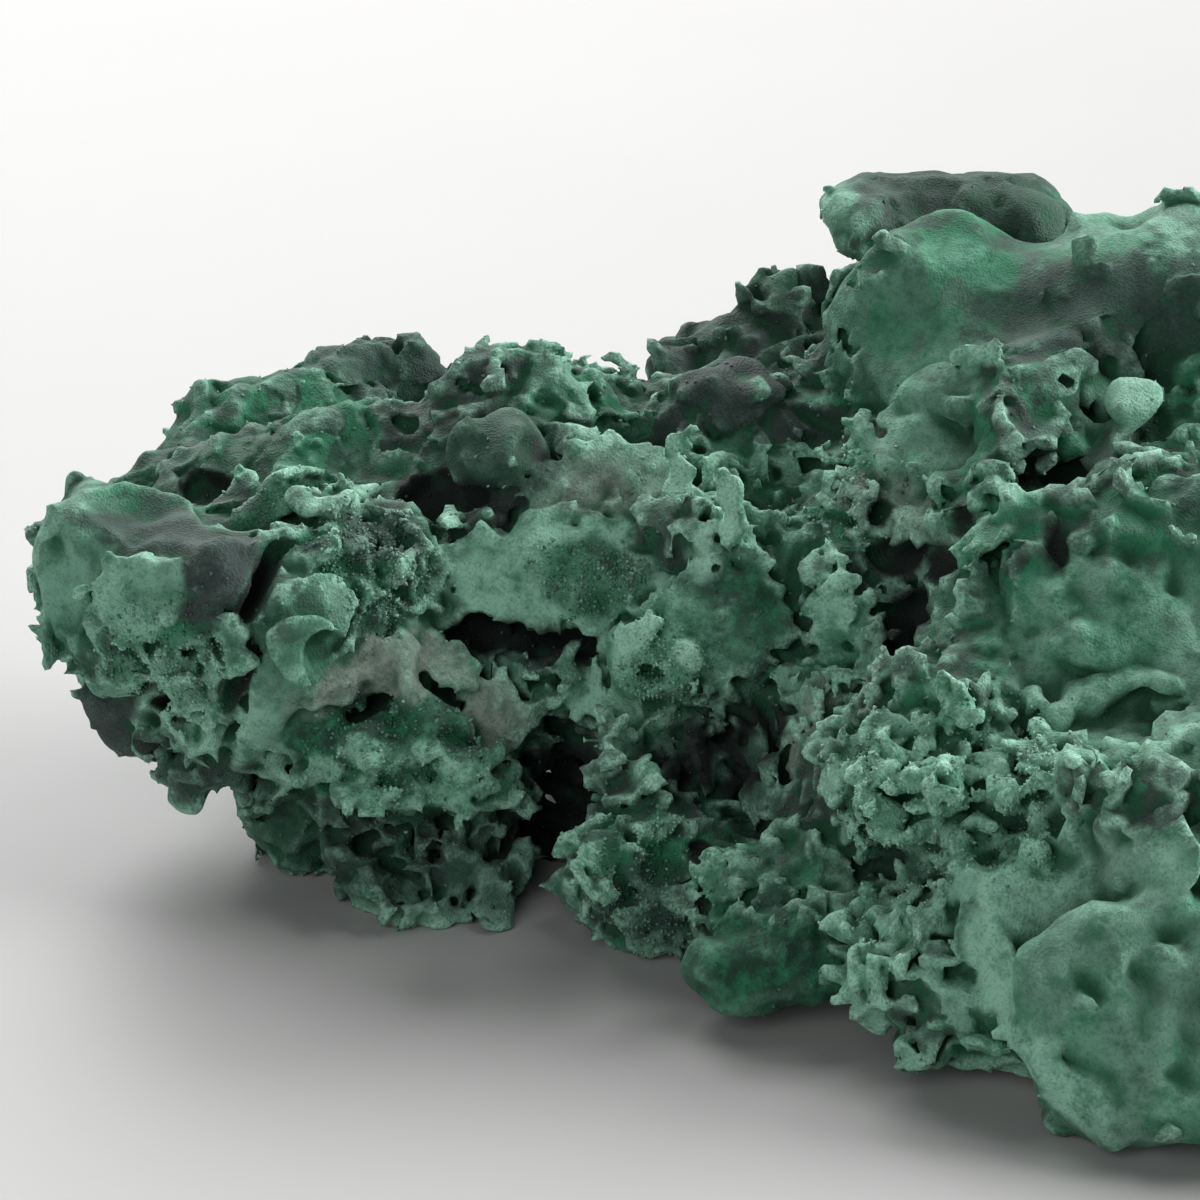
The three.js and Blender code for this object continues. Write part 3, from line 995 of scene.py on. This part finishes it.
def druse_mesh(stone, crust, material):
    """Very small crystals that crowd on the granular places of the crust, each one closed."""
    places = np.concatenate([read_points(piece.data, "co") for piece in crust]) / MM
    outward = np.concatenate([read_points(piece.data, "normal") for piece in crust])
    likely = stone.sample(0.03 * (1 - stone.calm) + stone.druse, places) * (outward @ VIEW > -0.3)
    chosen = np.flatnonzero(random.random(len(places)) < likely)
    chosen = chosen[random.integers(len(chosen), size=CRYSTALS)]
    places = places[chosen]
    outward = outward[chosen]
    lean = outward + 0.5 * random.standard_normal(outward.shape)
    lean /= np.linalg.norm(lean, axis=1, keepdims=True)
    across = np.cross(lean, random.standard_normal(lean.shape))
    across /= np.linalg.norm(across, axis=1, keepdims=True)
    along = np.cross(lean, across)
    width = random.uniform(0.07, 0.18, (len(places), 1, 1))
    length = width * random.uniform(0.9, 1.8, width.shape)
    x, y, z = (TIPS[None, :, k, None] for k in range(3))
    waist = width * (x * across[:, None] + y * along[:, None])
    points = places[:, None] + waist + length * z * lean[:, None]
    corners = (SIDES[None] + 6 * np.arange(len(places))[:, None, None]).reshape(-1, 3)
    points = points.reshape(-1, 3)
    points[:, 2] = np.maximum(points[:, 2], FOOT_TRIM)
    piece = bpy.data.objects.new("malachite_druse", to_mesh("malachite_druse", points, corners))
    bpy.context.scene.collection.objects.link(piece)
    paint(stone, piece)
    # A random value for each crystal: its tone, and for a few a painted glint.
    tone_and_glint = np.repeat(random.random(len(places)), len(TIPS))
    write_values(piece.data, "tone_and_glint", tone_and_glint)
    piece.data.materials.append(material)
    return piece


# ---- material

class Nodes:
    """Short calls for building a node tree."""

    def __init__(self, material):
        material.use_nodes = True
        self.tree = material.node_tree
        self.shader = self.tree.nodes["Principled BSDF"]

    def add(self, kind, output=0, settings=None, **inputs):
        """A node with its settings and inputs, by name or as input_0, input_1; gives an output."""
        node = self.tree.nodes.new(kind)
        for key, value in (settings or {}).items():
            setattr(node, key, value)
        for key, value in inputs.items():
            name = int(key[6:]) if key.startswith("input_") else key.replace("_", " ")
            self.put(node.inputs[name], value)
        return node.outputs[output]

    def put(self, socket, value):
        if isinstance(value, bpy.types.NodeSocket):
            self.tree.links.new(value, socket)
        else:
            socket.default_value = value

    def shade(self, **inputs):
        """Sets or links the shader's inputs."""
        for key, value in inputs.items():
            self.put(self.shader.inputs[key.replace("_", " ")], value)

    def math(self, operation, a, b):
        return self.add("ShaderNodeMath", 0, {"operation": operation}, input_0=a, input_1=b)

    def plus(self, a, b):
        return self.math("ADD", a, b)

    def times(self, a, b):
        return self.math("MULTIPLY", a, b)

    def attribute(self, name):
        return self.add("ShaderNodeAttribute", "Fac", {"attribute_name": name})

    def noise(self, at, size, detail=3.0, roughness=0.6):
        """Noise with lumps of a size in the units of `at`, about 0 to 1."""
        inputs = {"Vector": at, "Scale": 1 / size, "Detail": detail, "Roughness": roughness}
        return self.add("ShaderNodeTexNoise", 0, None, **inputs)

    def ramp(self, value, low, high, out_low=0.0, out_high=1.0):
        settings = {"interpolation_type": "SMOOTHSTEP"}
        limits = {"From_Min": low, "From_Max": high, "To_Min": out_low, "To_Max": out_high}
        return self.add("ShaderNodeMapRange", 0, settings, Value=value, **limits)

    def mix(self, share, a, b):
        """Colour a turning into colour b."""
        settings = {"data_type": "RGBA"}
        return self.add("ShaderNodeMix", 2, settings, input_0=share, input_6=a, input_7=b)


DEEP = (0.013, 0.054, 0.036, 1)
GREEN = (0.058, 0.205, 0.128, 1)
MINT = (0.34, 0.66, 0.50, 1)
DARK_MINT = (0.07, 0.24, 0.15, 1)
PALE = (0.52, 0.87, 0.70, 1)
EMERALD = (0.022, 0.235, 0.105, 1)
CHARCOAL = (0.026, 0.041, 0.040, 1)
VELVET = (0.055, 0.084, 0.076, 1)
DARK_CHIP = (0.035, 0.047, 0.045, 1)
OLIVE = (0.33, 0.41, 0.35, 1)
DARK_OLIVE = (0.16, 0.22, 0.18, 1)
# Near black: painted shade in pits, caves, creases and wide dips, and a darker tone on some charcoal
# lumps.
SHADE_AND_DARK = (0.011, 0.019, 0.016, 1)
# Painted light on what stands out, and painted shade on what lies back.
RAISED_HIGHLIGHT = (0.20, 0.47, 0.33, 1)
LOW_LYING_SHADE = (0.008, 0.060, 0.032, 1)


def chip_colour(n, patches, mottle, tone):
    """Each chip has its own tone: some are pale, some charcoal, some a clear green."""
    colour = n.mix(n.ramp(n.plus(patches, n.times(mottle, 0.6)), 0.62, 0.98), DEEP, GREEN)
    colour = n.mix(n.ramp(tone, 0.68, 0.85, 0, 0.55), colour, MINT)
    colour = n.mix(n.ramp(tone, 0.40, 0.26, 0, 0.85), colour, DARK_CHIP)
    clear = n.times(n.ramp(tone, 0.38, 0.44), n.ramp(tone, 0.58, 0.52, 0, 0.7))
    return n.mix(clear, colour, EMERALD)


def marked_colour(n, colour, tone, mottle, fine, grains):
    """The colour with those laid over it that the stamps left."""
    speckle = n.mix(n.ramp(fine, 0.35, 0.65), DEEP, EMERALD)
    minted = n.plus(n.times(tone, 0.4), n.times(mottle, 0.6))
    looks = {
        # This dark green is partly the stone's own and partly painted shade in pits and under overhangs.
        "deep": n.mix(n.ramp(mottle, 0.4, 0.7), DEEP, EMERALD),
        "emerald": n.mix(n.ramp(grains, 0.1, 0.5), GREEN, speckle),
        "olive": n.mix(n.ramp(mottle, 0.35, 0.65), DARK_OLIVE, OLIVE),
        "mint": n.mix(n.ramp(minted, 0.34, 0.60), DARK_MINT, MINT),
        "pale": n.mix(n.ramp(mottle, 0.35, 0.6), MINT, PALE),
    }
    for name, look in looks.items():
        colour = n.mix(n.attribute(name), colour, look)
    return colour


def relief_colour(n, colour):
    """Painted light and shade: what stands out is painted lighter, and what lies back is painted a dark
    clear green as shade.
    """
    relief = n.attribute("relief")
    colour = n.mix(n.ramp(relief, 0.48, 0.34, 0, 0.2), colour, RAISED_HIGHLIGHT)
    return n.mix(n.ramp(relief, 0.54, 0.70, 0, 0.8), colour, LOW_LYING_SHADE)


def velvet_share(n, patches):
    """Dark velvet lies in patches on what faces up, and where a stamp left charcoal."""
    dust = n.times(n.ramp(n.attribute("upward"), 0.45, 0.85), n.ramp(patches, 0.51, 0.6))
    bare = n.ramp(n.plus(n.attribute("mint"), n.attribute("pale")), 0.2, 0.9, 0.75, 0.1)
    return n.math("MAXIMUM", n.attribute("charcoal"), n.times(dust, bare))


def edge_highlight_share(n, mottle, velvet):
    """Broken edges are pale, partly their own colour and partly a painted highlight, but less so on velvet
    and in the dark green that partly stands for painted shade.
    """
    edge = n.times(n.attribute("edge"), n.ramp(mottle, 0.38, 0.62, 0.1, 0.9))
    edge = n.times(edge, n.ramp(velvet, 0.0, 1.0, 1.0, 0.2))
    return n.times(edge, n.ramp(n.attribute("deep"), 0.0, 1.0, 1.0, 0.3))


def crust_colour(n, at):
    """The greens of the crust, and the fine noises that its surface shares."""
    patches = n.noise(at, 5.0, 4)
    mottle = n.noise(at, 1.1, 5, 0.7)
    fine = n.noise(at, 0.22, 4, 0.7)
    grains = n.add("ShaderNodeTexVoronoi", "Distance", None, Vector=at, Scale=6.0)
    tone = n.plus(n.attribute("tone"), n.times(n.math("SUBTRACT", mottle, 0.5), 0.3))

    colour = chip_colour(n, patches, mottle, tone)
    colour = marked_colour(n, colour, tone, mottle, fine, grains)
    # Painted light on raised places and painted shade on low ones.
    colour = relief_colour(n, colour)
    velvet = velvet_share(n, patches)
    colour = n.mix(velvet, colour, n.mix(n.ramp(fine, 0.35, 0.7), CHARCOAL, VELVET))
    # Pale edges: partly their own colour, partly painted highlight.
    edge = edge_highlight_share(n, mottle, velvet)
    colour = n.mix(edge, colour, n.mix(n.ramp(fine, 0.4, 0.75), MINT, PALE))
    # Painted shade: creases are dimmed towards a dark green, and the wide dips and pits fade to near
    # black.
    crease_shade = n.times(n.attribute("crease_shade"), n.ramp(mottle, 0.3, 0.6, 0.6, 0.95))
    colour = n.mix(crease_shade, colour, n.mix(0.5, SHADE_AND_DARK, EMERALD))
    colour = n.mix(n.ramp(fine, 0.52, 0.3, 0, 0.45), colour, DEEP)
    # Painted shade: the wide dips and the marked pits are mixed towards near black.
    depth = n.math("MAXIMUM", n.times(n.attribute("cavity_shade"), 0.7), n.attribute("hollow"))
    return n.mix(depth, colour, SHADE_AND_DARK), mottle, fine, grains


def in_millimetres(n):
    place = n.add("ShaderNodeTexCoord", "Object")
    return n.add("ShaderNodeVectorMath", 0, {"operation": "SCALE"}, input_0=place, input_3=1 / MM)


def crust_material():
    material = bpy.data.materials.new("malachite_crust")
    n = Nodes(material)
    at = in_millimetres(n)
    colour, mottle, fine, grains = crust_colour(n, at)
    rough = n.ramp(n.plus(fine, n.times(n.attribute("emerald"), -0.4)), 0.0, 0.8, 0.45, 0.85)
    height = n.plus(n.plus(n.times(fine, 0.6), n.times(grains, 0.5)), n.times(mottle, 0.5))
    bump = n.add("ShaderNodeBump", 0, None, Strength=1.0, Distance=0.13 * MM, Height=height)
    n.shade(Base_Color=colour, Roughness=rough, Normal=bump, Specular_IOR_Level=0.35)
    n.shade(Sheen_Weight=0.05, Sheen_Roughness=0.5, Sheen_Tint=(0.75, 0.9, 0.82, 1))
    return material


def druse_material():
    """As the crust, with some crystals darker or more minty at random, a few painted pale as sparkling
    highlights, and all of them glossier.
    """
    material = bpy.data.materials.new("malachite_druse")
    n = Nodes(material)
    colour, _, fine, _ = crust_colour(n, in_millimetres(n))
    tone_and_glint = n.attribute("tone_and_glint")
    colour = n.mix(n.ramp(tone_and_glint, 0.3, 0.1, 0, 0.7), colour, DEEP)
    colour = n.mix(n.ramp(tone_and_glint, 0.6, 0.9, 0, 0.22), colour, MINT)
    # Painted glints: a few crystals are made pale, as sparkling highlights.
    colour = n.mix(n.ramp(tone_and_glint, 0.994, 0.996, 0, 0.6), colour, PALE)
    bump = n.add("ShaderNodeBump", 0, None, Strength=0.4, Distance=0.04 * MM, Height=fine)
    rough = n.ramp(fine, 0.2, 0.8, 0.2, 0.5)
    n.shade(Base_Color=colour, Roughness=rough, Normal=bump, Specular_IOR_Level=0.6)
    return material


# ---- the stage

FLOOR_REACH = 3  # metres from the middle to each side
FLOOR_DARK = (0.48, 0.476, 0.472, 1)
FLOOR_LIGHT = (0.505, 0.502, 0.498, 1)


def floor_material():
    material = bpy.data.materials.new("studio_floor")
    n = Nodes(material)
    faint = n.noise(n.add("ShaderNodeTexCoord", "Object"), 0.05, 4)
    n.shade(Base_Color=n.mix(faint, FLOOR_DARK, FLOOR_LIGHT), Roughness=0.6)
    return material


def add_floor():
    mesh = bpy.data.meshes.new("floor")
    r = FLOOR_REACH
    mesh.from_pydata([(-r, -r, 0), (r, -r, 0), (r, r, 0), (-r, r, 0)], [], [(0, 1, 2, 3)])
    floor = bpy.data.objects.new("floor", mesh)
    bpy.context.scene.collection.objects.link(floor)
    mesh.materials.append(floor_material())


LIT = Vector((0, 0, 0.02))  # what the lights point at
# Each light's place and width in metres, and its power in watts.
LIGHTS = {
    "softbox_behind": ((-0.12, 0.76, 0.48), 0.6, 4.4),
    "softbox_behind_left": ((-0.42, 0.60, 0.62), 0.6, 5.3),
    "softbox_above": ((0.20, 0.15, 0.70), 0.5, 0.8),
    "softbox_front": ((-0.30, -0.60, 0.35), 0.6, 1.6),
    "softbox_right": ((0.75, 0.10, 0.35), 0.6, 10.0),
}
SKY = (0.95, 0.97, 1.0, 1)
SKY_STRENGTH = 0.05


def add_light(name, place, size, power):
    light = bpy.data.lights.new(name, "AREA")
    light.shape = "DISK"
    light.size = size
    light.energy = power
    lamp = bpy.data.objects.new(name, light)
    lamp.location = place
    lamp.rotation_euler = (LIT - Vector(place)).to_track_quat("-Z", "Y").to_euler()
    bpy.context.scene.collection.objects.link(lamp)


def add_lights():
    for name, light in LIGHTS.items():
        add_light(name, *light)
    world = bpy.data.worlds.new("studio")
    world.use_nodes = True
    background = world.node_tree.nodes["Background"]
    background.inputs["Color"].default_value = SKY
    background.inputs["Strength"].default_value = SKY_STRENGTH
    bpy.context.scene.world = world


# The camera, in metres.
DISTANCE = 0.300
SEEN_WIDTH = 0.075  # how much of the specimen is across the picture
TARGET = Vector((-0.016, 0, 0.020))


def add_camera():
    data = bpy.data.cameras.new("camera")
    data.sensor_width = 36
    data.lens = data.sensor_width * DISTANCE / SEEN_WIDTH
    camera = bpy.data.objects.new("camera", data)
    camera.location = TARGET + DISTANCE * Vector(VIEW)
    camera.rotation_euler = (math.pi / 2 - ELEVATION, 0, 0)
    bpy.context.scene.collection.objects.link(camera)
    bpy.context.scene.camera = camera


# ---- all of it

# What is grown before the crust is weathered, and what is grown after it.
SHAPES = [grow_block, grow_shoulder, grow_hills, colour_block_and_back, grow_arm_back, grow_waves,
          grow_cauliflower, grow_foot, grow_cave, grow_recess]
FEATURES = [grow_tip, grow_ribbon, grow_sponge, grow_mound, grow_ledge, grow_strap, grow_nugget,
            grow_mint_plate, grow_upper_plates, grow_dark_lumps, grow_hood, grow_jagged_crust, grow_groove,
            grow_knee]

add_camera()
stone = Stone(cad_box)
stone.melt(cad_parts[NODE].data)
shape_noise(stone)
lay_habits(stone)
for grow in SHAPES:
    grow(stone)
weather(stone)
scatter_flakes(stone)
scatter_holes(stone)
for grow in FEATURES:
    grow(stone)
scatter_worms(stone)
grow_folded_sheet(stone)
scatter_grains(stone)
trim(stone)

pieces = stone_meshes(stone, crust_material())
pieces.append(druse_mesh(stone, pieces, druse_material()))
for piece in pieces:
    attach(piece, BODY)
    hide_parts(NODE)
add_floor()
add_lights()
bpy.context.scene.view_settings.view_transform = "Standard"
